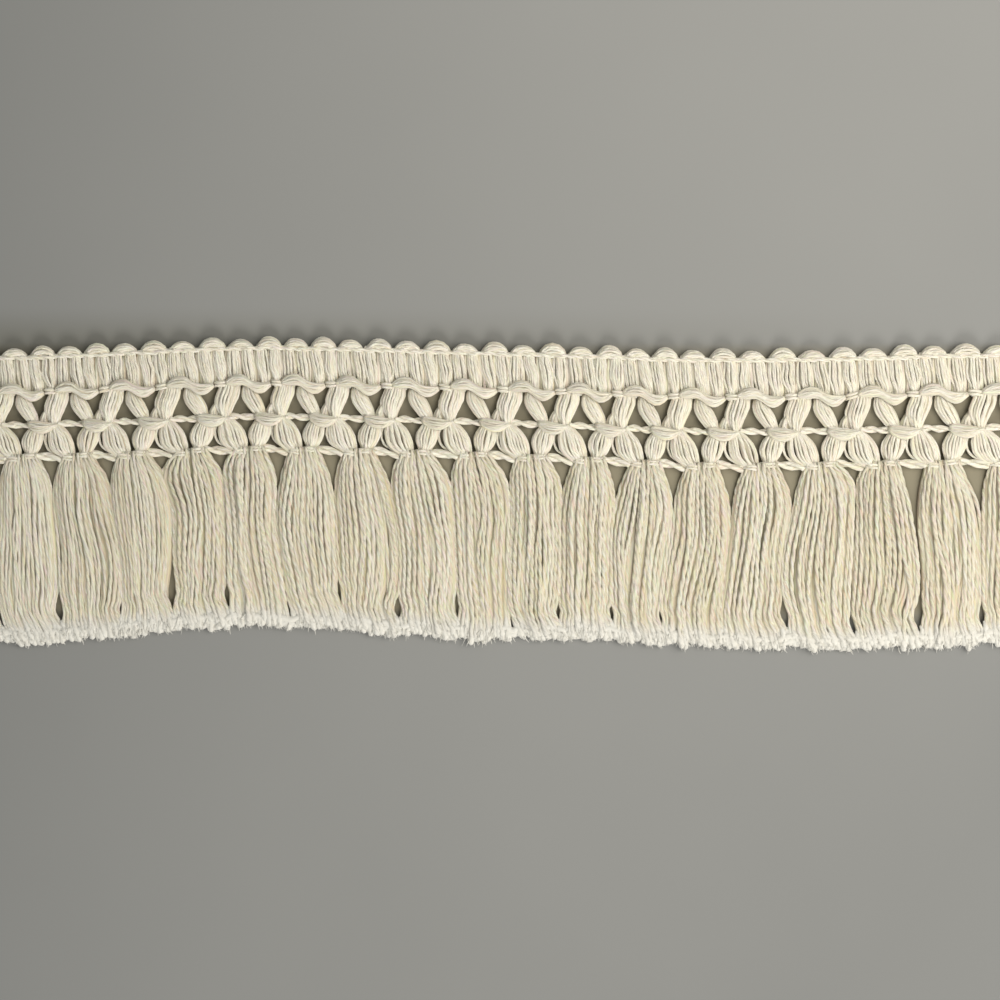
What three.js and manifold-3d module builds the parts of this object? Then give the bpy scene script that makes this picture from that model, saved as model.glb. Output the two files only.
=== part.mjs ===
// A cut length of cotton fringe trim, lying flat with its worked face up.
// One run of yarn makes a picot-edged heading, a raised wavy braid, an openwork row of
// stars and a fringe of tassels tied off along the last row.
// Millimetres: X along the trim, Y up its width to the picots, Z up from the table.
import * as THREE from 'three';
import Module from 'manifold-3d';

const wasm = await Module();
wasm.setup();

// One repeat is one star and one tassel.
const REPEAT = 11.46;
const TASSELS = 19;
const GROUPS_PER_REPEAT = 4;

// Share of a bundle's width that its flat crown takes; its shoulders slope to the foot.
const CROWN = 0.62;

// Rows across the width, from the middle of the stars.
const ROW = { picotTip: 16.4, picotBase: 14.9, topChain: 14.2, heading: 6.9, star: 0, tie: -6.8 };
const HANG = 36.8;

// A tassel's middle and the heading's left end, from the star that the tassel starts at.
const TASSEL_FROM_STAR = 4.8;
const HEADING_FROM_STAR = -2.1;

// How the trim lies, at every second tassel from the left end to the right: along and rise
// place it, spread stretches the heading across its width, hang is the tassel's length, and
// sway and belly are the drift of its tip and of its middle.
const LAY_FIRST = -1;
const LAY_STEP = 2;
const LAY = [
  { along: -114.2, rise: 13.6, spread: 0.940, hang: 37.6, sway: 0.2, belly: 0.0 },
  { along: -92.3, rise: 13.9, spread: 0.945, hang: 37.5, sway: 0.3, belly: 0.0 },
  { along: -70.4, rise: 14.6, spread: 0.960, hang: 36.2, sway: 2.0, belly: 1.0 },
  { along: -47.2, rise: 15.6, spread: 0.960, hang: 35.7, sway: 1.0, belly: -0.2 },
  { along: -25.4, rise: 15.2, spread: 0.965, hang: 36.5, sway: 1.3, belly: 0.3 },
  { along: -2.4, rise: 14.5, spread: 0.965, hang: 37.0, sway: 1.5, belly: 1.0 },
  { along: 20.6, rise: 13.6, spread: 0.980, hang: 36.2, sway: -2.2, belly: 0.0 },
  { along: 43.0, rise: 12.6, spread: 1.000, hang: 36.6, sway: -2.8, belly: -0.5 },
  { along: 66.8, rise: 12.7, spread: 1.000, hang: 37.2, sway: -1.8, belly: 0.1 },
  { along: 91.0, rise: 13.2, spread: 1.015, hang: 37.0, sway: 0.0, belly: 0.9 },
  { along: 114.2, rise: 13.5, spread: 1.015, hang: 37.8, sway: 0.3, belly: 0.4 },
];

// The upper right, upper left, lower left and lower right petals of a star: from and to are
// places from the star, waist is the width at both ends and belly the width at the middle.
const PETALS = [
  { side: 'right', from: [1.1, 6.55], to: [-0.1, -0.6], waist: 2.9, belly: 4.8 },
  { side: 'left', from: [-7.1, 6.55], to: [-4.0, -0.2], waist: 2.2, belly: 3.6 },
  { side: 'left', from: [-3.7, 0.5], to: [-5.1, -5.7], waist: 2.6, belly: 4.5 },
  { side: 'right', from: [0.1, 0.2], to: [2.95, -6.3], waist: 2.9, belly: 5.5 },
];

// A petal from end to end: how far along, share of the swell from waist to belly, height.
const PETAL_SHAPE = [
  { at: 0.0, belly: 0.0, height: 1.3 },
  { at: 0.3, belly: 0.85, height: 2.1 },
  { at: 0.6, belly: 0.95, height: 2.5 },
  { at: 1.0, belly: 0.0, height: 1.7 },
];

// The short petal that lies across the star's left half, and the cord to the next star.
const CROSSING = [
  { at: [-5.2, 0.5], width: 1.2, height: 1.9 },
  { at: [-3.7, -0.5], width: 2.6, height: 2.9 },
  { at: [-1.7, -0.8], width: 2.5, height: 3.0 },
  { at: [0.4, -0.1], width: 1.2, height: 2.2 },
];
const STAR_CORD = { from: 1.2, to: 6.9, width: 1.2, low: 0.2, high: 1.4 };

// The wavy braid's middle line through one repeat, and how wide it is there.
const WAVE_HEIGHT = 3.3;
const WAVE_THICK = 1.5;
const WAVE = [
  { at: [-0.6, 6.9], width: 1.1 },
  { at: [0.9, 7.4], width: 1.7 },
  { at: [2.5, 7.7], width: 2.4 },
  { at: [4.1, 7.5], width: 2.3 },
  { at: [5.5, 6.4], width: 2.1 },
  { at: [7.1, 5.9], width: 2.2 },
  { at: [9.0, 6.6], width: 1.3 },
];

// The tying row through one repeat: two wraps side by side over a tassel, then a cord.
const TIE_WIDTH = 1.0;
const TIES = [
  { at: [1.9, -7.1], low: 0.0, high: 2.9 },
  { at: [7.5, -6.6], low: 0.0, high: 2.9 },
  { at: [8.2, -6.4], low: 0.3, high: 1.5 },
  { at: [12.6, -7.2], low: 0.3, high: 1.5 },
];
const TIES_ON_LAST_TASSEL = 2;

// A tassel from its tie to its tip: how far its sides lie left and right of its middle, and
// its thickness. It spreads from the tie, more to the right.
const TASSEL_SHAPE = [
  { down: 0.00, left: 3.10, right: 3.30, thick: 2.6 },
  { down: 0.05, left: 4.00, right: 4.40, thick: 2.9 },
  { down: 0.10, left: 4.80, right: 5.50, thick: 2.8 },
  { down: 0.16, left: 5.10, right: 5.95, thick: 2.7 },
  { down: 0.70, left: 5.10, right: 5.95, thick: 2.3 },
  { down: 0.84, left: 4.70, right: 5.60, thick: 2.1 },
  { down: 0.93, left: 5.05, right: 5.90, thick: 2.0 },
  { down: 1.00, left: 5.00, right: 5.85, thick: 1.4 },
];
const TIP_UNEVEN = 0.5;

// The heading's surface across a group and up the width, and the picots' outline.
const RIB = { valley: 0.65, crest: 1.0 };
const HEADING_ROWS = [
  { at: ROW.heading, height: 1.7 },
  { at: ROW.topChain, height: 2.2 },
];

// A picot's outline above its base at four columns, and how thick its edge is. The heading
// is cut through a picot at each end, where only the lowered edge is left.
const PICOT_OUTLINE = [1.0, 0.66, 0.0, 0.72];
const CUT_PICOT = 0.1;
const PICOT_EDGE_HEIGHT = 1.2;

const FIRST_STAR = -((TASSELS - 1) / 2) * REPEAT - TASSEL_FROM_STAR;

function starAt(star) {
  return FIRST_STAR + star * REPEAT;
}

// Catmull-Rom between the stations of the lay table.
function laid(s, column) {
  const tassel = s / REPEAT + (TASSELS - 1) / 2;
  const place = Math.min(Math.max((tassel - LAY_FIRST) / LAY_STEP, 0), LAY.length - 1.001);
  const k = Math.floor(place);
  const f = place - k;
  const value = (i) => LAY[Math.min(Math.max(i, 0), LAY.length - 1)][column];
  const [a, b, c, d] = [value(k - 1), value(k), value(k + 1), value(k + 2)];
  const slope0 = (c - a) / 2;
  const slope1 = (d - b) / 2;
  const f2 = f * f;
  const f3 = f2 * f;
  return (2 * f3 - 3 * f2 + 1) * b + (f3 - 2 * f2 + f) * slope0
    + (3 * f2 - 2 * f3) * c + (f3 - f2) * slope1;
}

// Puts a point of the straight, even trim where it lies on the table.
function lay(s, t) {
  const spread = laid(s, 'spread');
  if (t >= ROW.tie) {
    return [laid(s, 'along'), laid(s, 'rise') + t * spread];
  }
  const down = (ROW.tie - t) / HANG;
  const drift = laid(s, 'sway') * down * down * (3 - 2 * Math.min(down, 1))
    + laid(s, 'belly') * Math.sin(Math.PI * down);
  return [
    laid(s, 'along') + drift,
    laid(s, 'rise') + ROW.tie * spread - down * laid(s, 'hang'),
  ];
}

// A closed solid from rings of corners that turn counter-clockwise about the way ahead.
function ringSolid(rings) {
  const corners = rings[0].length;
  const points = rings.flat(2);
  const faces = [];
  for (let i = 0; i + 1 < rings.length; i += 1) {
    for (let k = 0; k < corners; k += 1) {
      const a = i * corners + k;
      const b = i * corners + ((k + 1) % corners);
      faces.push(a, b, b + corners, a, b + corners, a + corners);
    }
  }
  const last = (rings.length - 1) * corners;
  for (let k = 1; k + 1 < corners; k += 1) {
    faces.push(0, k + 1, k, last, last + k, last + k + 1);
  }
  const mesh = new wasm.Mesh({
    numProp: 3,
    vertProperties: new Float32Array(points),
    triVerts: new Uint32Array(faces),
  });
  return new wasm.Manifold(mesh);
}

// A ring with a flat foot and sloping shoulders, its width measured along the side direction.
function archRing([s, t], side, width, low, high) {
  const across = [width / 2, width * CROWN / 2, -width * CROWN / 2, -width / 2];
  const up = [low, high, high, low];
  return across.map((w, k) => [s + side[0] * w, t + side[1] * w, up[k]]);
}

const ALONG_X = [0, 1];
const DOWN_Y = [1, 0];

function join(solids) {
  return solids.reduce((whole, solid) => whole.add(solid));
}

function petal(star, shape) {
  const rings = PETAL_SHAPE.map((row) => {
    const place = [0, 1].map((i) => shape.from[i] + (shape.to[i] - shape.from[i]) * row.at);
    const width = shape.waist + (shape.belly - shape.waist) * row.belly;
    return archRing([starAt(star) + place[0], place[1]], DOWN_Y, width, 0, row.height);
  });
  return ringSolid(rings);
}

function crossing(star) {
  return ringSolid(CROSSING.map((row) => (
    archRing([starAt(star) + row.at[0], row.at[1]], ALONG_X, row.width, 0, row.height)
  )));
}

function starCord(star) {
  const { from, to, width, low, high } = STAR_CORD;
  return ringSolid([from, to].map((u) => (
    archRing([starAt(star) + u, ROW.star], ALONG_X, width, low, high)
  )));
}

function starLattice() {
  const solids = [];
  for (let star = 0; star <= TASSELS; star += 1) {
    const sides = [];
    if (star > 0) {
      sides.push('left');
      solids.push(crossing(star));
    }
    if (star < TASSELS) {
      sides.push('right');
      solids.push(starCord(star));
    }
    PETALS.filter((shape) => sides.includes(shape.side))
      .forEach((shape) => solids.push(petal(star, shape)));
  }
  return join(solids);
}

function waveBraid() {
  const line = [];
  for (let star = 0; star < TASSELS; star += 1) {
    WAVE.forEach((row) => line.push({ s: starAt(star) + row.at[0], t: row.at[1], width: row.width }));
  }
  const rings = line.map((point, k) => {
    const before = line[Math.max(k - 1, 0)];
    const after = line[Math.min(k + 1, line.length - 1)];
    const ahead = new THREE.Vector2(after.s - before.s, after.t - before.t).normalize();
    const side = [-ahead.y, ahead.x];
    return archRing([point.s, point.t], side, point.width,
      WAVE_HEIGHT - WAVE_THICK / 2, WAVE_HEIGHT + WAVE_THICK / 2);
  });
  return ringSolid(rings);
}

function tyingRow() {
  const rings = [];
  for (let star = 0; star < TASSELS; star += 1) {
    const rows = star < TASSELS - 1 ? TIES : TIES.slice(0, TIES_ON_LAST_TASSEL);
    rows.forEach((row) => rings.push(
      archRing([starAt(star) + row.at[0], row.at[1]], ALONG_X, TIE_WIDTH, row.low, row.high),
    ));
  }
  return ringSolid(rings);
}

function tassel(star) {
  const middle = starAt(star) + TASSEL_FROM_STAR;
  const tip = TIP_UNEVEN * Math.sin(star * 2.4);
  return ringSolid(TASSEL_SHAPE.map((row) => {
    const place = [middle + (row.right - row.left) / 2, ROW.tie - row.down * (HANG - tip - TIP_UNEVEN)];
    return archRing(place, DOWN_Y, row.left + row.right, 0, row.thick);
  }));
}

function fringeComb() {
  const solids = [tyingRow()];
  for (let star = 0; star < TASSELS; star += 1) {
    solids.push(tassel(star));
  }
  return join(solids);
}

// The heading is a sheet with a rib for each group and a flat foot.
function picotHeading() {
  const left = starAt(0) + HEADING_FROM_STAR;
  const groupWidth = REPEAT / GROUPS_PER_REPEAT;
  const columns = TASSELS * GROUPS_PER_REPEAT * 2;
  const rings = [];
  for (let column = 0; column <= columns; column += 1) {
    const s = left + column * groupWidth / 2;
    const rib = column % 2 === 0 ? RIB.valley : RIB.crest;
    const isCut = column === 0 || column === columns;
    const swell = isCut ? CUT_PICOT : PICOT_OUTLINE[column % PICOT_OUTLINE.length];
    const tip = ROW.picotBase + (ROW.picotTip - ROW.picotBase) * swell;
    const base = HEADING_ROWS[0].at;
    const top = HEADING_ROWS.map((row) => [s, row.at, row.height * rib]);
    rings.push([[s, base, 0], [s, tip, 0], [s, tip, PICOT_EDGE_HEIGHT], ...top.reverse()]);
  }
  return ringSolid(rings);
}

function laidMesh(name, solid, colour) {
  const { vertProperties, triVerts, numProp } = solid.getMesh();
  const positions = new Float32Array((vertProperties.length / numProp) * 3);
  for (let i = 0; i < positions.length / 3; i += 1) {
    const [s, t, z] = vertProperties.subarray(i * numProp, i * numProp + 3);
    const [x, y] = lay(s, t);
    positions.set([x, y, z], i * 3);
  }
  const geometry = new THREE.BufferGeometry();
  geometry.setAttribute('position', new THREE.BufferAttribute(positions, 3));
  geometry.setIndex(new THREE.BufferAttribute(triVerts, 1));
  geometry.computeVertexNormals();
  const material = new THREE.MeshStandardMaterial({ color: colour, roughness: 0.9, metalness: 0 });
  const mesh = new THREE.Mesh(geometry, material);
  mesh.name = name;
  return mesh;
}

const trim = new THREE.Group();
trim.add(laidMesh('picot_heading', picotHeading(), 0xe0d8c0));
trim.add(laidMesh('wave_braid', waveBraid(), 0xe6dfc9));
trim.add(laidMesh('star_lattice', starLattice(), 0xe2dac4));
trim.add(laidMesh('fringe_comb', fringeComb(), 0xddd4ba));

export default trim;
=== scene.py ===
import math

import bpy
import numpy as np
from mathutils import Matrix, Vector


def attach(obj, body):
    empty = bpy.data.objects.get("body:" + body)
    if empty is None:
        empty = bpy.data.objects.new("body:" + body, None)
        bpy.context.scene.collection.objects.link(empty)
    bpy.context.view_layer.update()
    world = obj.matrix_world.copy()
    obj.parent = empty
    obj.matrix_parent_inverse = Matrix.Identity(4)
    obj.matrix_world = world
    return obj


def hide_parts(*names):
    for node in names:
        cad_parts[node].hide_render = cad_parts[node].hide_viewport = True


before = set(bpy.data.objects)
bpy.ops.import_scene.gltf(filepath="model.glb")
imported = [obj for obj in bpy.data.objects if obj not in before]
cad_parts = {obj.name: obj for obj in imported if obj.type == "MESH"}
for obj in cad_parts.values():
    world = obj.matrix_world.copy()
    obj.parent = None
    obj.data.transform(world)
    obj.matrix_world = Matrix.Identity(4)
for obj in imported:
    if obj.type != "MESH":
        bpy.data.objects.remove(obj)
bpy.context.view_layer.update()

# Lengths in the tables are millimetres, and places are measured from the middle of a star:
# along the trim, then across it towards the picots. The trim is worked out straight and even,
# then laid where it lies by the lay table.
MM = 0.001
REPEAT = 11.46
TASSELS = 19
TASSEL_FROM_STAR = 4.8
HEADING_FROM_STAR = -2.1
FIRST_STAR = -(TASSELS - 1) / 2 * REPEAT - TASSEL_FROM_STAR
TOP_CHAIN = 14.2
TIE = -6.8
HANG = 36.8

# Every second tassel from the left end to the right: along, rise, spread, hang, sway, belly.
LAY_FIRST = -1
LAY_STEP = 2
LAY = np.array([
    (-114.2, 13.6, 0.940, 37.6, 0.2, 0.0),
    (-92.3, 13.9, 0.945, 37.5, 0.3, 0.0),
    (-70.4, 14.6, 0.960, 36.2, 2.0, 1.0),
    (-47.2, 15.6, 0.960, 35.7, 1.0, -0.2),
    (-25.4, 15.2, 0.965, 36.5, 1.3, 0.3),
    (-2.4, 14.5, 0.965, 37.0, 1.5, 1.0),
    (20.6, 13.6, 0.980, 36.2, -2.2, 0.0),
    (43.0, 12.6, 1.000, 36.6, -2.8, -0.5),
    (66.8, 12.7, 1.000, 37.2, -1.8, 0.1),
    (91.0, 13.2, 1.015, 37.0, 0.0, 0.9),
    (114.2, 13.5, 1.015, 37.8, 0.3, 0.4),
])

PLY = 0.31           # radius of one ply, as the heading and the petals show them
TASSEL_YARN = 0.46   # radius of the slack yarn in the tassels
PLY_PITCH = 5.0      # length of one full turn of the two plies where the yarn hangs slack
STRAIGHT = 400.0     # the same for a yarn whose twist doesn't show
PAINTED_UNDER_SHADE = 1.25        # painted shade: the tone of a yarn that lies under others; 0 to 1 is pale to deep

draw = np.random.default_rng(11)


def make_camera():
    """Looks straight down on the part of the trim that the picture frames, 200 mm across."""
    span, height, sensor = 200.0, 420.0, 36.0
    middle = (2.8, -1.0)
    data = bpy.data.cameras.new("camera")
    data.sensor_width = sensor
    data.lens = sensor * height / span
    data.clip_start = 0.01
    data.clip_end = 10.0
    camera = bpy.data.objects.new("camera", data)
    camera.location = (middle[0] * MM, middle[1] * MM, height * MM)
    bpy.context.scene.collection.objects.link(camera)
    bpy.context.scene.camera = camera


def curve_through(rows, places):
    """Catmull-Rom through rows at 0, 1, 2 and on, read at places."""
    rows = np.asarray(rows, float)
    places = np.clip(places, 0, len(rows) - 1.0001)
    k = np.floor(places).astype(int)
    f = (places - k)[..., None]
    last = len(rows) - 1
    a, b = rows[np.clip(k - 1, 0, last)], rows[k]
    c, d = rows[np.clip(k + 1, 0, last)], rows[np.clip(k + 2, 0, last)]
    slope0, slope1 = (c - a) / 2, (d - b) / 2
    return ((2 * f**3 - 3 * f**2 + 1) * b + (f**3 - 2 * f**2 + f) * slope0
            + (3 * f**2 - 2 * f**3) * c + (f**3 - f**2) * slope1)


def lay(points):
    """Moves points of the straight, even trim to where they lie on the table."""
    s, t, z = np.moveaxis(points, -1, 0)
    tassel = s / REPEAT + (TASSELS - 1) / 2
    laid = curve_through(LAY, (tassel - LAY_FIRST) / LAY_STEP)
    along, rise, spread, hang, sway, belly = np.moveaxis(laid, -1, 0)
    down = np.clip((TIE - t) / HANG, 0, None)
    eased = down * down * (3 - 2 * np.minimum(down, 1))
    x = along + sway * eased + belly * np.sin(math.pi * np.minimum(down, 1))
    y = rise + np.maximum(t, TIE) * spread - down * hang
    return np.stack([x, y, z], -1)


def unit(vectors):
    return vectors / np.maximum(np.linalg.norm(vectors, axis=-1, keepdims=True), 1e-9)


class Skein:
    """Collects yarns, each a closed plied tube, and makes one mesh of them."""

    def __init__(self):
        self.places, self.quads, self.triangles = [], [], []
        self.fibre, self.tone, self.tip = [], [], []
        self.count = 0

    def add(self, points, radius, sides=5, groove=0.4, pitch=PLY_PITCH, up=(0, 0, 1),
            tip=0.0, tone=None):
        """points is yarns x steps x 3, already laid; radius and tip fit yarns x steps."""
        yarns, steps = points.shape[:2]
        radius = np.broadcast_to(radius, (yarns, steps))[..., None]
        ahead = unit(np.gradient(points, axis=1))
        side = unit(np.cross(ahead, np.asarray(up, float)))
        over = np.cross(side, ahead)
        lengths = np.linalg.norm(np.diff(points, axis=1), axis=-1)
        along = np.concatenate([np.zeros((yarns, 1)), np.cumsum(lengths, 1)], 1)[..., None]
        corner = np.arange(sides) * 2 * math.pi / sides
        reach = radius * (1 - groove * (1 - np.abs(np.cos(corner)))**1.3)
        pitch = pitch * draw.uniform(0.75, 1.4, (yarns, 1, 1))
        angle = corner + 2 * math.pi * (along / pitch + draw.uniform(0, 1, (yarns, 1, 1)))
        ring = (points[:, :, None] + side[:, :, None] * (reach * np.cos(angle))[..., None]
                + over[:, :, None] * (reach * np.sin(angle))[..., None])
        ring[..., 2] = np.maximum(ring[..., 2], 0)  # pressed flat where it touches the table
        length_code = along * 0.08 + draw.uniform(0, 90, (yarns, 1, 1))
        fibre = np.stack(np.broadcast_arrays(np.cos(corner), np.sin(corner), length_code), -1)
        tone = draw.uniform(0, 1, yarns) if tone is None else np.broadcast_to(tone, (yarns,))
        self.places.append(ring.reshape(-1, 3))
        self.fibre.append(fibre.reshape(-1, 3))
        self.tone.append(np.repeat(tone, steps * sides))
        self.tip.append(np.repeat(np.broadcast_to(tip, (yarns, steps)).ravel(), sides))
        first = self.count + np.arange(yarns)[:, None, None] * steps * sides
        here = first + np.arange(steps - 1)[:, None] * sides
        a, b = here + np.arange(sides), here + (np.arange(sides) + 1) % sides
        self.quads.append(np.stack([a + sides, b + sides, b, a], -1).reshape(-1, 4))
        start, end = first[:, 0, 0], first[:, 0, 0] + (steps - 1) * sides
        for k in range(1, sides - 1):
            self.triangles.append(np.stack([start, start + k, start + k + 1], -1))
            self.triangles.append(np.stack([end, end + k + 1, end + k], -1))
        self.count += yarns * steps * sides

    def build(self, name, material, slot, replaces=()):
        places = np.concatenate(self.places) * MM
        quads = np.concatenate(self.quads)
        triangles = np.concatenate(self.triangles)
        mesh = bpy.data.meshes.new(name)
        mesh.vertices.add(len(places))
        mesh.vertices.foreach_set("co", places.astype(np.float32).ravel())
        mesh.loops.add(quads.size + triangles.size)
        mesh.loops.foreach_set("vertex_index", np.concatenate([quads.ravel(), triangles.ravel()]))
        mesh.polygons.add(len(quads) + len(triangles))
        sizes = np.concatenate([np.full(len(quads), 4), np.full(len(triangles), 3)])
        mesh.polygons.foreach_set("loop_start", np.concatenate([[0], np.cumsum(sizes)[:-1]]))
        mesh.polygons.foreach_set("use_smooth", np.ones(len(sizes), bool))
        mesh.update(calc_edges=True)
        for label, kind, values in (("fibre", "FLOAT_VECTOR", self.fibre),
                                    ("tone", "FLOAT", self.tone), ("tip", "FLOAT", self.tip)):
            attribute = mesh.attributes.new(label, kind, "POINT")
            key = "vector" if kind == "FLOAT_VECTOR" else "value"
            attribute.data.foreach_set(key, np.concatenate(values).astype(np.float32).ravel())
        mesh.materials.append(material)
        piece = bpy.data.objects.new(name, mesh)
        bpy.context.scene.collection.objects.link(piece)
        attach(piece, "root")
        if replaces:
            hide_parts(*replaces)
        print(name, len(quads) * 2 + len(triangles), "triangles")
        return piece


def star_at(star):
    return FIRST_STAR + star * REPEAT


def bundle(skein, origin, rows, front, back, upright=True, radius=PLY, base=0.0, step=0.52,
           loose=0.03, crown=0.5, lean=0.0, sides=6):
    """A bundle of yarns, front ones over back ones, inside its two edges.

    rows are (across, left, right, top) for an upright bundle and (along, low, high, top) for
    one that lies along the trim.
    """
    rows = np.asarray(rows, float)
    middles = np.stack([rows[:, 0], rows[:, 1:3].mean(1)], -1)
    length = np.linalg.norm(np.diff(middles, axis=0), axis=1).sum()
    for count, lifted, reach, size, coarse in ((front, True, 1.0, 1.0, 1.0),
                                               (back, False, 0.92, 1.7, 1.8)):
        if not count:
            continue
        steps = max(5, int(round(length / step / coarse)) + 1)
        line = curve_through(rows, np.linspace(0, len(rows) - 1, steps))
        place, middle = line[:, 0], line[:, 1:3].mean(1)
        f = np.linspace(0, 1, steps)
        thick = radius * size
        half, top = np.maximum((line[:, 2] - line[:, 1]) / 2 - thick, 0.05), line[:, 3]
        q = (np.linspace(-reach, reach, count) + draw.normal(0, loose, count))[:, None]
        q = q + draw.normal(0, loose * 1.5, (count, 1)) * np.sin(math.pi * f)
        q = np.clip(q * (1 - 0.7 * lean) + lean * (2 * f - 1), -1.05, 1.05)
        crowded = np.clip(1 - 2 * (half + thick) / count / (1.8 * thick), 0, 1)
        weave = np.where(np.arange(count) % 2, 0.6, -0.6)[:, None] * crowded * thick
        sag = crown * np.maximum(top - base - 2 * thick, 0) * np.minimum(q * q, 1)
        z = top - thick - sag + weave
        if not lifted:
            z = base + thick + 0.6 * np.maximum(top - base - 2 * thick, 0) + 0.4 * weave
        z = np.maximum(z, base + thick) + draw.normal(0, 0.05, (count, 1))
        aside = middle + q * half
        flat = (aside, place + 0 * q) if upright else (place + 0 * q, aside)
        points = np.stack([flat[0] + origin[0], flat[1] + origin[1], z], -1)
        # Back yarns carry painted shade as a deeper tone, since they lie under the front ones.
        looks = {"tone": PAINTED_UNDER_SHADE, "groove": 0.0, "pitch": STRAIGHT}
        if lifted:
            looks = {"sides": sides, "groove": 0.25, "pitch": 4.6}
        skein.add(lay(points), thick * draw.uniform(0.9, 1.1, (count, 1)), **looks)


def cord(skein, origin, rows, radius, pitch, step=0.4, apart=0.85, sides=6):
    """Two yarns twisted round each other through rows of (along, across, height)."""
    rows = np.asarray(rows, float)
    length = np.linalg.norm(np.diff(rows[:, :2], axis=0), axis=1).sum()
    steps = max(6, int(round(length / step)) + 1)
    line = curve_through(rows, np.linspace(0, len(rows) - 1, steps))
    line[:, :2] += origin
    turn = np.linspace(0, length / pitch * 2 * math.pi, steps) + draw.uniform(0, 6.28)
    turn = turn + 0.4 * np.sin(turn * 0.37 + draw.uniform(0, 6.28))
    ahead = unit(np.gradient(line[:, :2], axis=0))
    across = np.stack([-ahead[:, 1], ahead[:, 0]], -1)
    yarns = []
    for half in (0, math.pi):
        place = line.copy()
        place[:, :2] += across * (radius * apart * np.cos(turn + half))[:, None]
        place[:, 2] += radius * apart * np.sin(turn + half)
        yarns.append(place)
    skein.add(lay(np.array(yarns)), radius, sides=sides, groove=0.2, pitch=4.5)


def wrap(skein, middle, width, top, radius, turns=2, tilt=0.0, foot=0.3):
    """Fine thread over a pinched bundle, from the table up one side and down the other."""
    steps = 13
    f = np.linspace(0, math.pi, steps)
    yarns = []
    for turn in range(turns):
        across = middle[1] + (turn - (turns - 1) / 2) * radius * 1.9
        s = middle[0] - np.cos(f) * (width / 2)
        z = foot + np.sin(f)**0.7 * (top - foot)
        t = across + tilt * np.cos(f) * width / 2 + 0 * f
        yarns.append(np.stack([s, t, z], -1))
    skein.add(lay(np.array(yarns)), radius, sides=6, groove=0.2, pitch=4.5, up=(0, 1, 0))


# Petals of a star from top to bottom: across, left and right edge, top.
UPPER_RIGHT = [(7.3, -1.1, 2.8, 1.8), (6.4, -1.3, 2.95, 2.3), (4.9, -1.9, 2.85, 2.6),
               (3.7, -2.25, 2.4, 2.7), (2.3, -2.15, 1.75, 2.6), (0.9, -1.55, 1.2, 2.4),
               (-0.4, -1.1, 1.0, 2.2)]
UPPER_LEFT = [(6.6, -8.0, -5.8, 1.8), (5.2, -8.3, -5.1, 2.3), (3.8, -8.05, -4.25, 2.6),
              (2.4, -7.2, -3.6, 2.5), (1.2, -6.2, -3.3, 2.3), (0.3, -5.3, -3.2, 2.0),
              (-0.4, -4.7, -3.2, 1.7)]
BEHIND_STAR = [(3.1, -2.1, -0.8, 1.4), (2.1, -2.9, -1.2, 1.9), (0.9, -3.4, -1.3, 2.1),
               (-0.4, -3.4, -1.1, 1.9)]
LOWER_LEFT = [(-0.2, -4.9, -2.6, 1.7), (-1.3, -5.9, -2.2, 2.2), (-2.7, -6.75, -2.15, 2.6),
              (-4.0, -6.9, -2.45, 2.7), (-5.2, -6.55, -3.1, 2.5), (-6.0, -6.3, -3.75, 2.4),
              (-6.9, -6.4, -3.8, 2.3)]
LOWER_RIGHT = [(0.2, -1.0, 1.1, 2.2), (-1.0, -1.3, 2.3, 2.5), (-2.2, -1.55, 3.4, 2.7),
               (-3.5, -1.5, 4.05, 2.8), (-4.8, -1.2, 4.4, 2.8), (-5.9, -0.25, 4.5, 2.6),
               (-6.7, 1.0, 4.5, 2.5), (-7.5, 1.7, 4.4, 2.4)]
LOOSE_STRAND = [(-0.4, -1.2, -0.5, 1.9), (-1.5, -2.0, -1.3, 1.9), (-2.8, -2.4, -1.7, 1.8),
                (-4.1, -2.2, -1.5, 1.8), (-5.3, -1.5, -0.8, 1.9), (-6.5, 0.4, 1.1, 2.0),
                (-7.2, 1.4, 2.1, 2.1)]

# Bundles that lie along the trim, left to right: along, low and high edge, top.
CROSSING = [(-5.4, -0.3, 0.9, 1.9), (-4.5, -1.3, 1.0, 2.7), (-3.2, -1.95, 0.8, 3.2),
            (-2.0, -2.0, 0.6, 3.3), (-1.0, -1.6, 0.4, 3.1), (-0.2, -1.0, 0.25, 2.8),
            (0.5, -0.6, 0.1, 2.3)]
WAVE = [(0.3, 6.8, 7.5, 2.2), (1.1, 6.5, 8.4, 3.0), (2.4, 6.5, 8.9, 3.6),
        (3.8, 6.5, 8.7, 3.7), (4.9, 6.0, 7.8, 3.5), (5.8, 5.3, 7.4, 3.4),
        (7.0, 4.75, 7.1, 3.3), (8.2, 5.2, 7.1, 3.0), (9.2, 6.2, 7.1, 2.3)]
PICOTS = {
    "large": [(-4.9, 13.8, 14.7, 1.8), (-4.4, 13.9, 15.8, 2.3), (-3.3, 14.1, 16.7, 2.8),
              (-1.9, 14.1, 16.7, 2.8), (-0.7, 14.0, 15.9, 2.5), (-0.2, 13.8, 14.8, 2.0)],
    "small": [(0.7, 13.8, 14.7, 1.8), (1.3, 13.9, 15.6, 2.2), (2.3, 14.1, 16.25, 2.6),
              (3.8, 14.1, 16.2, 2.6), (4.9, 14.0, 15.5, 2.4), (5.4, 13.8, 14.7, 2.0)],
}

# The four groups of the heading: middle and half width at the top and at the foot.
GROUPS = [(-1.15, 1.35, -0.9, 0.85), (1.75, 1.4, 1.8, 1.2), (4.55, 1.35, 5.0, 1.1),
          (7.4, 1.4, 7.8, 1.0)]


def stars_right():
    return [np.array([star_at(star), 0.0]) for star in range(TASSELS)]


def stars_left():
    return [np.array([star_at(star), 0.0]) for star in range(1, TASSELS + 1)]


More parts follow.
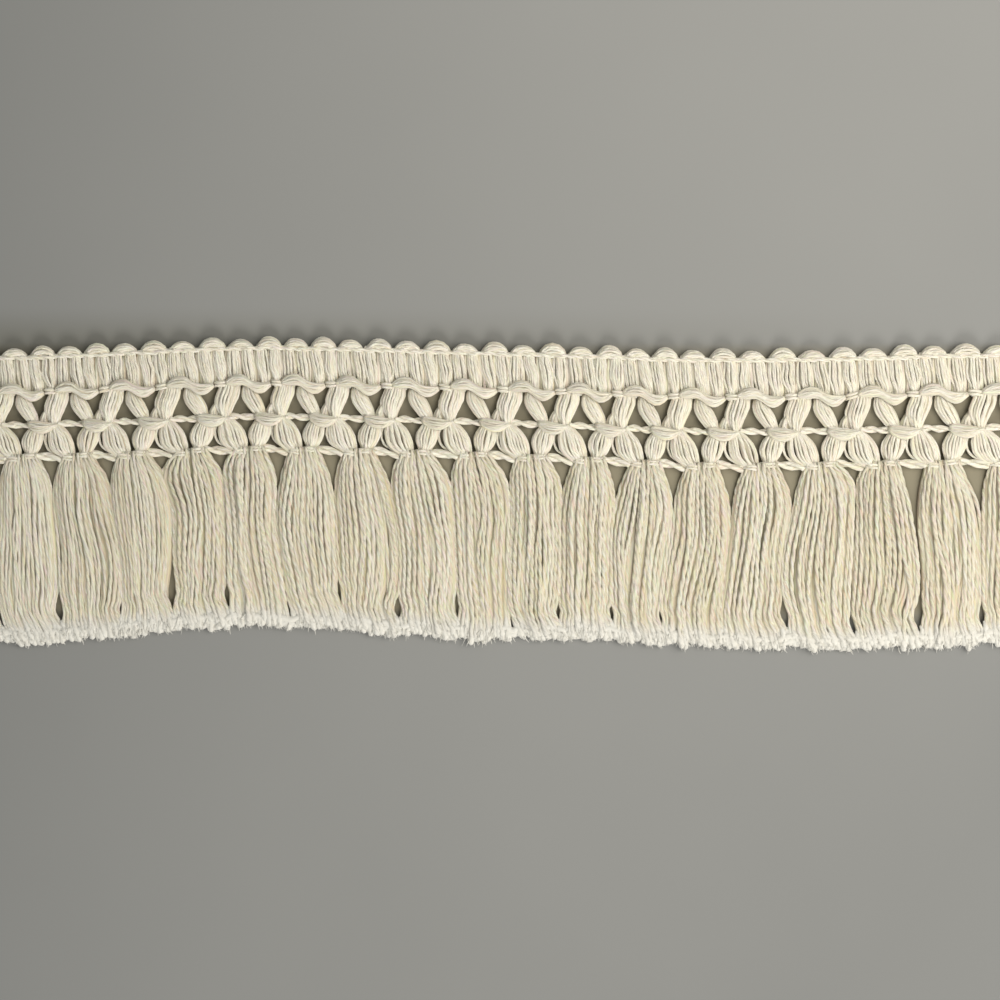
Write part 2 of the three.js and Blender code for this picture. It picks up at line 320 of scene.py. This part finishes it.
def star_petals(yarn):
    upper, lower = Skein(), Skein()
    for origin in stars_right():
        bundle(upper, origin, UPPER_RIGHT, 9, 5)
        bundle(lower, origin, LOWER_RIGHT, 9, 5)
        bundle(lower, origin + draw.normal(0, 0.12, 2), LOOSE_STRAND, 1, 0)
    for origin in stars_left():
        bundle(upper, origin, BEHIND_STAR, 4, 2)
        bundle(upper, origin, UPPER_LEFT, 7, 4)
        bundle(lower, origin, LOWER_LEFT, 8, 4)
        bundle(lower, origin, CROSSING, 6, 3, upright=False, radius=0.26, base=1.3)
    upper.build("upper_petals", yarn, "heading_yarn", ["star_lattice"])
    lower.build("lower_petals", yarn, "heading_yarn")


def star_cords(yarn):
    skein = Skein()
    for origin in stars_right():
        s = origin[0]
        cord(skein, origin, [(0.8, 0.1, 1.4), (2.5, 0.2, 1.1), (4.6, 0.0, 1.0), (6.9, 0.0, 1.2)],
             radius=0.43, apart=0.85, pitch=6.0)
        wrap(skein, (s + 3.05, -7.1), 3.1, 2.4, radius=0.3, tilt=0.15)
        wrap(skein, (s + 6.3, -6.6), 2.9, 2.42, radius=0.3, tilt=draw.normal(0, 0.04))
        wrap(skein, (s - 0.8, 6.95), 2.3, 2.3, radius=0.33, tilt=draw.normal(0, 0.15), foot=1.0)
    for origin in stars_right()[:-1]:
        cord(skein, origin, [(7.4, -6.4, 1.3), (9.2, -6.6, 1.0), (11.0, -6.9, 1.0),
                             (13.0, -7.3, 1.3)], radius=0.50, apart=0.9, pitch=8.0)
    return skein.build("star_cords", yarn, "heading_yarn")


def heading_groups(yarn):
    skein = Skein()
    for origin in stars_right():
        for top, top_half, foot, foot_half in GROUPS:
            top, foot = top + draw.normal(0, 0.1), foot + draw.normal(0, 0.15)
            waist, wide = (top + foot) / 2 + draw.normal(0, 0.15), 1.62
            rows = [(15.0, top - 1.1, top + 1.1, 1.8), (14.2, top - 1.35, top + 1.35, 2.2),
                    (12.6, top - top_half * 1.12, top + top_half * 1.12, 2.4),
                    (10.4, waist - wide, waist + wide, 2.45),
                    (8.3, foot - foot_half * 1.25, foot + foot_half * 1.25, 2.3),
                    (7.2, foot - foot_half * 1.1, foot + foot_half * 1.1, 2.1),
                    (6.3, foot - foot_half, foot + foot_half, 1.8)]
            bundle(skein, origin, rows, 6, 0, radius=0.285, loose=0.07, crown=0.3, lean=0.28)
        for k in range(12):
            s = HEADING_FROM_STAR + (k + 0.5) * REPEAT / 12
            rows = [(14.6, s - 0.5, s + 0.5, 1.7), (10.5, s - 0.5, s + 0.5, 2.25),
                    (6.6, s - 0.5, s + 0.5, 1.6)]
            bundle(skein, origin, rows, 0, 1, radius=0.33, step=1.1)
    return skein.build("heading_groups", yarn, "heading_yarn", ["picot_heading"])


def picot_loops(yarn):
    skein = Skein()
    for origin in stars_right():
        for rows in PICOTS.values():
            lift = draw.normal(0, 0.06)
            rows = [(along, low, high + lift * (high > 15), top) for along, low, high, top in rows]
            bundle(skein, origin, rows, 5, 3, upright=False, radius=0.31, base=0.2, step=0.5)
    return skein.build("picot_loops", yarn, "heading_yarn")


def top_chain(yarn):
    """The thread under the picots dips a little between the groups."""
    skein = Skein()
    rows = []
    for origin in stars_right():
        for top, _, _, _ in GROUPS:
            rows.append((origin[0] + top, TOP_CHAIN + draw.normal(0, 0.08), 2.15))
            rows.append((origin[0] + top + 1.4, TOP_CHAIN + draw.normal(0, 0.08), 1.8))
    cord(skein, np.zeros(2), rows, radius=0.32, apart=0.7, pitch=4.2, step=0.5)
    return skein.build("top_chain", yarn, "heading_yarn")


def wave_bundle(yarn):
    skein = Skein()
    for origin in stars_right():
        bundle(skein, origin, WAVE, 5, 3, upright=False, radius=0.27, base=1.6, step=0.5,
               loose=0.06, crown=0.6)
    return skein.build("wave_bundle", yarn, "heading_yarn", ["wave_braid"])


# A tassel from tie to tip: how far down, its sides left and right of its middle, thickness.
TASSEL_SHAPE = np.array([
    (-0.02, -2.9, 3.1, 2.3), (0.0, -3.1, 3.3, 2.4), (0.033, -3.8, 4.1, 2.7),
    (0.065, -4.35, 4.8, 2.85), (0.10, -4.9, 5.6, 2.85), (0.14, -5.2, 6.1, 2.8),
    (0.20, -5.5, 6.45, 2.7), (0.5, -5.7, 6.6, 2.4), (0.84, -5.7, 6.6, 2.1),
    (0.93, -5.6, 6.5, 2.0), (1.0, -5.5, 6.4, 1.8),
])

# Tassels with one side that fans out below the tie: which side, how far, and where.
FLARES = {4: (-1, 2.1, 0.15), 5: (-1, 1.1, 0.10), 15: (1, 1.4, 0.09), 16: (-1, 0.9, 0.08)}

# Slits low down between one tassel and the next: left tassel, where it is widest, its length
# above that, and its width.
SLITS = [(0, 0.82, 2.0, 0.8), (1, 0.85, 3.6, 1.8), (2, 0.85, 1.2, 1.1), (3, 0.80, 5.5, 2.3),
         (4, 0.84, 2.2, 1.4), (6, 0.80, 2.0, 1.0), (7, 0.86, 2.2, 1.7), (8, 0.86, 3.0, 1.3),
         (10, 0.86, 2.0, 1.5), (11, 0.86, 1.6, 1.5), (12, 0.86, 1.5, 1.2), (14, 0.84, 3.6, 1.8),
         (15, 0.88, 1.8, 0.9), (16, 0.84, 2.8, 1.6), (17, 0.86, 1.8, 1.1)]

# For each tassel: how far its last part leans to the right, how low its sides lie, how slowly
# it spreads below the tie, and how much deeper than the others its colour is.
TIP_LEAN = np.clip(draw.normal(1.3, 0.6, TASSELS), 0.2, 2.4)
VALLEY = draw.uniform(0.45, 0.95, TASSELS)
SPREAD = np.interp(np.arange(TASSELS), [0, 9, 14, 18], [1.25, 1.1, 1.6, 1.7])
SPREAD = SPREAD * draw.uniform(0.85, 1.2, TASSELS)
CAST = draw.normal(0, 0.2, TASSELS)

# Layers of a tassel: yarns, reach, height, steps, sides, size, groove, pitch, and painted shade, a
# deeper tone for the layers under the front. The yarns of a brushed tassel are finer and more in
# the front layer.
FRONT_LAYER = (14, 1.00, 1.00, 66, 8, 1.00, 0.30, PLY_PITCH, 0.0)
BRUSHED_LAYER = (19, 1.00, 1.00, 60, 7, 0.82, 0.25, 6.0, 0.0)
BACK_LAYERS = [
    (11, 0.80, 0.50, 38, 6, 1.20, 0.25, 8.0, 0.6),
    (12, 0.86, 0.10, 18, 5, 1.70, 0.00, STRAIGHT, 1.2),
]
BRUSHED = (0, 1, 2, 3)


def drift(s, down):
    """Slow waves that neighbouring tassels share, in millimetres along the trim."""
    return np.clip(down * 2.5, 0, 1) * (0.45 * np.sin(s / 9.0 + 5.0 * down + 0.8)
                                        + 0.35 * np.sin(s / 5.3 - 6.5 * down + 2.0))


def smooth_waves(count, down, amount, fewest, most):
    """A gentle random wave for each of count yarns, read along down."""
    cycles = draw.uniform(fewest, most, (count, 1))
    phase = draw.uniform(0, 2 * math.pi, (count, 1))
    return draw.normal(0, amount, (count, 1)) * (np.sin(2 * math.pi * cycles * down + phase)
                                                 - np.sin(phase))


def slit_edges(star, down):
    """How far slits push in the left and the right side of a tassel."""
    push = [0, 0]
    for left, widest, above, width in SLITS:
        from_widest = (down - widest) * HANG
        fade = np.exp(-(from_widest / np.where(from_widest < 0, above, 2.1))**2)
        for side, owner in enumerate((left + 1, left)):
            if owner == star:
                push[side] = push[side] + fade * width / 2
    return push


def tassel_yarns(star, count, reach, steps, height):
    """Middle lines of the yarns of one tassel, in the straight, even trim."""
    down = np.linspace(-0.018, 1.0, steps)
    spread = np.interp(down, [0, 0.2 * SPREAD[star], 0.6, 1], [0, 0.2, 0.6, 1])
    places, *outline = TASSEL_SHAPE.T
    low, high, thick = (np.interp(spread, places, values) for values in outline)
    lively = 1.0 if height > 0.3 else 0.3
    q = np.linspace(-reach, reach, count) + draw.normal(0, 0.03, count) * lively
    parted = 0.05 * np.sign(q)[:, None] * np.interp(down, [0, 0.16], [1, 0])
    locks = np.sort(draw.uniform(-1, 1, 5))
    lock = np.abs(q[:, None] - locks).argmin(1)
    pull = lively * 0.14 * np.interp(down, [0, 0.25, 0.7, 0.88, 1.0], [0, 0.4, 1.0, 1.0, 0.2])
    placed = np.clip((1 + q[:, None] + (locks[lock] - q)[:, None] * pull + parted) / 2, 0, 1)
    low, high = low + TASSEL_YARN * 0.75, high - TASSEL_YARN * 0.75
    aside = low + placed * (high - low)
    waves = smooth_waves(5, down, 0.30, 0.5, 1.3)[lock] * np.clip(down * 2, 0, 1)
    waves = waves + smooth_waves(count, down, 0.19, 0.8, 2.4) * np.clip(down * 4, 0, 1)
    aside = aside + waves * lively * (1 - 0.6 * q * q)[:, None]
    side, far, widest = FLARES.get(star, (0, 0, 0))
    flare = far * np.clip(side * q, 0, 1)[:, None] * np.exp(-((down - widest) / 0.11)**2)
    flare = flare * np.interp(down, [0, 0.04], [0, 1])
    aside = aside + side * flare
    from_left, from_right = slit_edges(star, down)
    aside = aside + from_left * (1 - placed)**1.5 - from_right * placed**1.5
    middle = star_at(star) + TASSEL_FROM_STAR
    aside = aside + drift(middle + aside, down) + TIP_LEAN[star] * np.clip(down * 5 - 4, 0, 1)**1.6
    drop = 0.968 + draw.normal(0, 0.008, (count, 1)) + draw.normal(0, 0.011, 5)[lock][:, None]
    t = TIE - np.where(down > 0, down * drop, down) * HANG
    crossing = smooth_waves(count, down, 0.20, 0.5, 2.0) * (1 - 0.5 * q * q)[:, None]
    crossing = crossing * (0.5 if star in BRUSHED else 1.0)
    valley = np.interp(down, [0, 0.1, 0.5, 0.9], [0.2, 0.95, VALLEY[star], VALLEY[star] * 0.6])
    sag = valley * (thick - 2 * TASSEL_YARN) * np.minimum(q**4, 1)[:, None]
    z = TASSEL_YARN * 1.3 + height * (thick - TASSEL_YARN * 2.3 - sag + crossing)
    z = z - 0.4 * flare
    tight = np.interp(down, [0, 0.05], [0.35, 0])
    z = z + tight * np.where(np.arange(count) % 2, 1, -1)[:, None]
    z = np.clip(z, TASSEL_YARN * 1.02, 3.0)
    return down, np.stack([middle + aside, t, z], -1)


def tassels(name, stars, yarn):
    """Makes the yarns of some tassels; also gives their ends and which way these point."""
    skein, ends = Skein(), []
    for star in stars:
        front = BRUSHED_LAYER if star in BRUSHED else FRONT_LAYER
        for layer in [front, *BACK_LAYERS]:
            count, reach, height, steps, sides, size, groove, pitch, painted_shade = layer
            down, points = tassel_yarns(star, count, reach, steps, height)
            slack = size * np.interp(down, [0, 0.08, 0.92, 0.98, 1.0], [0.8, 1, 1, 1.2, 0.9])
            laid = lay(points)
            # The tone is random for each yarn and each tassel, plus painted shade for the layers
            # under the front.
            skein.add(laid, TASSEL_YARN * slack * draw.uniform(0.88, 1.1, (count, 1)),
                      sides=sides, groove=groove, pitch=pitch,
                      tip=np.interp(down, [0.875, 0.955], [0, 1]),
                      tone=draw.uniform(0, 1, count) + painted_shade + CAST[star])
            if height > 0.3:
                ends.append(np.stack([laid[:, -1], laid[:, -1] - laid[:, -4]], 1))
    piece = skein.build(name, yarn, "fringe_yarn")
    return piece, np.concatenate(ends)


def frayed_tips(name, ends, fluff, per_yarn=9):
    """Each cut yarn ends in a soft tuft with fibres sticking out of it, felted into a roll."""
    skein = Skein()
    ahead = unit(ends[:, 1])
    tufts = len(ends)
    reach = np.array([-3.4, -2.5, -1.6, -0.9, -0.3, 0.2, 0.45])
    shift = draw.normal(0, 0.06, (tufts, len(reach), 3))
    points = ends[:, None, 0] + ahead[:, None] * reach[:, None] + shift
    points[..., 2] = np.clip(points[..., 2] * 0.6 + 0.4, 0.68, 1.75)
    swell = np.array([0.35, 0.52, 0.62, 0.68, 0.68, 0.56, 0.25])
    skein.add(points, swell * draw.uniform(0.9, 1.1, (tufts, len(reach))), sides=8,
              groove=0.12, tip=1.0)
    order = ends[ends[:, 0, 0].argsort(), 0]
    x = np.arange(order[0, 0], order[-1, 0], 0.4)
    near = np.exp(-((x[:, None] - order[:, 0]) / 0.9)**2)
    lumps = np.interp(x, x[::6], draw.normal(0, 1, len(x[::6])))
    y = near @ order[:, 1] / near.sum(1) + 0.1 * lumps
    for back, lift in ((0.5, 0.85), (1.4, 1.0)):
        knobs = np.interp(x, x[::3], draw.normal(0, 1, len(x[::3]))) + draw.normal(0, 0.4, len(x))
        roll = np.stack([x, y + back + 0.09 * knobs, lift + draw.normal(0, 0.06, len(x))], -1)
        size = np.clip(0.76 + 0.08 * lumps + 0.05 * knobs, 0.45, 0.84)
        skein.add(roll[None], size[None], sides=8, groove=0.0, pitch=STRAIGHT, tip=1.0)
    count, steps = tufts * per_yarn, 4
    ahead = np.repeat(ahead, per_yarn, 0)
    f = np.linspace(0, 1, steps)
    back = draw.uniform(0.0, 2.2, (count, 1))
    length = np.minimum(draw.uniform(0.6, 1.4, (count, 1)) + 0.3 * back, back + 0.8)
    start = np.repeat(ends[:, 0], per_yarn, 0) - ahead * back
    start = start + draw.normal(0, 1, (count, 3)) * (0.45, 0.05, 0.40)
    bend = draw.normal(0, 1, (count, 3)) * (0.28, 0.15, 0.2)
    curl = draw.normal(0, 1, (count, 3)) * (0.22, 0.15, 0.2)
    points = (start[:, None] + (ahead[:, None] + bend[:, None]) * (length * f)[..., None]
              + curl[:, None] * (f * f)[None, :, None])
    points[..., 2] = np.clip(points[..., 2], 0.2, 1.9)
    radius = draw.uniform(0.07, 0.13, (count, 1)) * (1 - 0.7 * f**2)
    skein.add(points, radius, sides=3, groove=0.0, tip=1.0)
    return skein.build(name, fluff, "cut_ends")


class Wire:
    """An output socket whose arithmetic adds Math nodes."""

    def __init__(self, paint, socket):
        self.paint, self.socket = paint, socket

    def math(self, operation, *others):
        return self.paint.node("ShaderNodeMath", {"operation": operation}, (self, *others))

    def __add__(self, other):
        return self.math("ADD", other)

    def __radd__(self, other):
        return self.math("ADD", other)

    def __sub__(self, other):
        return self.math("SUBTRACT", other)

    def __rsub__(self, other):
        return self.paint.node("ShaderNodeMath", {"operation": "SUBTRACT"}, (other, self))

    def __mul__(self, other):
        return self.math("MULTIPLY", other)

    def __rmul__(self, other):
        return self.math("MULTIPLY", other)


class Paint:
    """One material and the ways of adding to it."""

    def __init__(self, name):
        self.material = bpy.data.materials.new(name)
        self.material.use_nodes = True
        self.tree = self.material.node_tree
        self.shader = self.tree.nodes["Principled BSDF"]

    def link(self, value, target):
        if isinstance(value, Wire):
            self.tree.links.new(value.socket, target)
        elif value is not None:
            target.default_value = value

    def node(self, kind, settings=None, inputs=(), output=0):
        made = self.tree.nodes.new(kind)
        for key, value in (settings or {}).items():
            setattr(made, key, value)
        pairs = inputs.items() if isinstance(inputs, dict) else enumerate(inputs)
        for key, value in pairs:
            self.link(value, made.inputs[key])
        return Wire(self, made.outputs[output])

    def attribute(self, name, output):
        return self.node("ShaderNodeAttribute", {"attribute_name": name}, (), output)

    def mix(self, factor, first, second, blend="MIX"):
        settings = {"data_type": "RGBA", "blend_type": blend}
        return self.node("ShaderNodeMix", settings, {0: factor, 6: first, 7: second}, 2)

    def finish(self, **sockets):
        for key, value in sockets.items():
            self.link(value, self.shader.inputs[key.replace("_", " ")])
        return self.material


def cotton(name, pale, deep, white):
    """Cream cotton yarn: a tone for each yarn, fibres lying along the plies, painted shade in the
    creases between the plies and on yarns under others, white at cuts.
    """
    paint = Paint(name)
    fibre = paint.attribute("fibre", "Vector")
    tone = paint.attribute("tone", "Fac")
    tip = paint.attribute("tip", "Fac")
    hairs = paint.node("ShaderNodeTexNoise", {}, {"Vector": fibre, "Scale": 3.2, "Detail": 4.0})
    ply = paint.node("ShaderNodeSeparateXYZ", {}, (fibre,), "X").math("ABSOLUTE")
    slub_settings = {"Vector": fibre, "Scale": 1.5, "Detail": 1.0}
    slub = paint.node("ShaderNodeTexNoise", {}, slub_settings)
    tints = paint.node("ShaderNodeTexNoise", {}, slub_settings, 1)
    # The ply term paints shade into the creases between the plies; higher tones give painted shade
    # to yarns under others.
    shade = tone * 0.5 + hairs * 2.4 + slub * 0.6 - ply * 0.45 - 1.0
    body = paint.mix(shade, pale, deep)
    body = paint.mix(0.5, body, tints, "SOFT_LIGHT")
    colour = paint.mix(tip, body, white)
    relief = hairs + ply * 0.5
    bump = paint.node("ShaderNodeBump", {}, {"Height": relief, "Strength": 0.8, "Distance": 0.0003})
    return paint.finish(Base_Color=colour, Roughness=0.92, Normal=bump, Sheen_Weight=0.15,
                        Sheen_Roughness=0.5, Specular_IOR_Level=0.15)


def fluff_finish(name, pale, warm):
    """Loose cotton: soft, nearly white and clouded."""
    paint = Paint(name)
    place = paint.node("ShaderNodeTexCoord", {}, (), "Object")
    tone = paint.attribute("tone", "Fac")
    wool = paint.node("ShaderNodeTexNoise", {}, {"Vector": place, "Scale": 2000.0, "Detail": 4.0})
    colour = paint.mix(tone * 0.4 + wool * 0.8 - 0.1, pale, warm)
    bump = paint.node("ShaderNodeBump", {}, {"Height": wool, "Strength": 0.25, "Distance": 0.0005})
    return paint.finish(Base_Color=colour, Roughness=0.95, Normal=bump, Sheen_Weight=0.3,
                        Sheen_Roughness=0.6, Specular_IOR_Level=0.1)


# The table top round the trim, in metres: painted warm shade under the trim, full as far as the
# first number and plain past the second, and a painted shadow by the picots, darker on the left.
PAINTED_SHADE_MIDDLE, PAINTED_SHADE_ACROSS, PAINTED_SHADE_ALONG = 0.002, (0.0245, 0.0285), (0.107, 0.113)
PICOT_EDGE, EDGE_REACH = 0.0295, (0.001, 0.009)


def make_floor():
    """A grey table top, brighter to the right with painted light, with the soft painted shade of
    the trim on it.
    """
    bpy.ops.mesh.primitive_plane_add(size=6.0, location=(0, 0, 0))
    floor = bpy.context.object
    floor.name = "table_top"
    paint = Paint("table_grey")
    place = paint.node("ShaderNodeTexCoord", {}, (), "Object")
    x = paint.node("ShaderNodeSeparateXYZ", {}, (place,), "X")
    y = paint.node("ShaderNodeSeparateXYZ", {}, (place,), "Y")
    cloud = paint.node("ShaderNodeTexNoise", {}, {"Vector": place, "Scale": 14.0, "Detail": 3.0})
    # Painted light: a gradient across the table, brighter to the right and to the back, plus a
    # faint mottle.
    painted_light_and_mottle = 0.305 + x * 0.45 + y * 2.42 + x * y * 12.8 - x * x * 16.1 + y * y * 6.8 + cloud * 0.2
    bounded = paint.node("ShaderNodeMath", {"operation": "MAXIMUM"}, (painted_light_and_mottle, 0.1))
    bounded = paint.node("ShaderNodeMath", {"operation": "MINIMUM"}, (bounded, 1.1))
    colour = paint.mix(bounded, (0.180, 0.183, 0.178, 1), (0.316, 0.315, 0.303, 1))
    # Painted warm shade: the table is darkened and warmed under the trim, where the trim shades it.
    off_middle = (y - PAINTED_SHADE_MIDDLE).math("ABSOLUTE")
    painted_shade_under = paint.node("ShaderNodeMapRange", {}, (off_middle, *PAINTED_SHADE_ACROSS, 1.0, 0.0))
    off_centre = x.math("ABSOLUTE")
    within = paint.node("ShaderNodeMapRange", {}, (off_centre, *PAINTED_SHADE_ALONG, 1.0, 0.0))
    colour = paint.mix(painted_shade_under * within, colour, (1.0, 0.89, 0.64, 1), "MULTIPLY")
    # Painted shadow: a soft dark band along the picot edge of the trim, strongest to the left.
    from_edge = (y - PICOT_EDGE).math("ABSOLUTE")
    edge = paint.node("ShaderNodeMapRange", {"interpolation_type": "SMOOTHSTEP"},
                      (from_edge, *EDGE_REACH, 1.0, 0.0))
    shade = edge * within * (0.36 - x * 3.6)
    colour = paint.mix(shade, colour, (0.62, 0.60, 0.51, 1), "MULTIPLY")
    floor.data.materials.append(paint.finish(Base_Color=colour, Roughness=0.75))


def area_light(name, place, aim, size, power, colour):
    data = bpy.data.lights.new(name, "AREA")
    data.shape = "DISK"
    data.size = size
    data.energy = power
    data.color = colour
    light = bpy.data.objects.new(name, data)
    light.location = place
    light.rotation_euler = (Vector(aim) - Vector(place)).to_track_quat("-Z", "Y").to_euler()
    bpy.context.scene.collection.objects.link(light)


def make_light():
    """Even room light, a soft window on the side of the tips and a wide one to the right."""
    world = bpy.data.worlds.new("room")
    world.use_nodes = True
    world.node_tree.nodes["Background"].inputs["Color"].default_value = (0.97, 1.0, 0.98, 1)
    world.node_tree.nodes["Background"].inputs["Strength"].default_value = 0.36
    bpy.context.scene.world = world
    area_light("window", (0.05, -0.55, 0.45), (0, 0, 0), 0.30, 2.6, (1.0, 0.97, 0.92))
    area_light("right_side", (0.24, 0.02, 0.32), (0.02, 0, 0), 0.36, 1.42, (1.0, 0.95, 0.87))
    bpy.context.scene.view_settings.view_transform = "Standard"


def main():
    make_camera()
    bpy.ops.object.select_all(action="DESELECT")
    white = (0.68, 0.66, 0.605, 1)
    yarn = cotton("cotton_heading", (0.87, 0.84, 0.74, 1), (0.75, 0.69, 0.56, 1), white)
    slack = cotton("cotton_fringe", (0.73, 0.695, 0.595, 1), (0.595, 0.535, 0.395, 1), white)
    fluff = fluff_finish("cotton_fray", (0.67, 0.66, 0.615, 1), (0.63, 0.61, 0.55, 1))
    heading_groups(yarn)
    picot_loops(yarn)
    top_chain(yarn)
    wave_bundle(yarn)
    star_petals(yarn)
    star_cords(yarn)
    for side, stars in (("left", range(0, 7)), ("middle", range(7, 13)), ("right", range(13, 19))):
        piece, ends = tassels("tassels_" + side, stars, slack)
        frayed_tips("frayed_tips_" + side, ends, fluff)
        if side == "middle":
            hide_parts("fringe_comb")
    make_floor()
    make_light()


main()
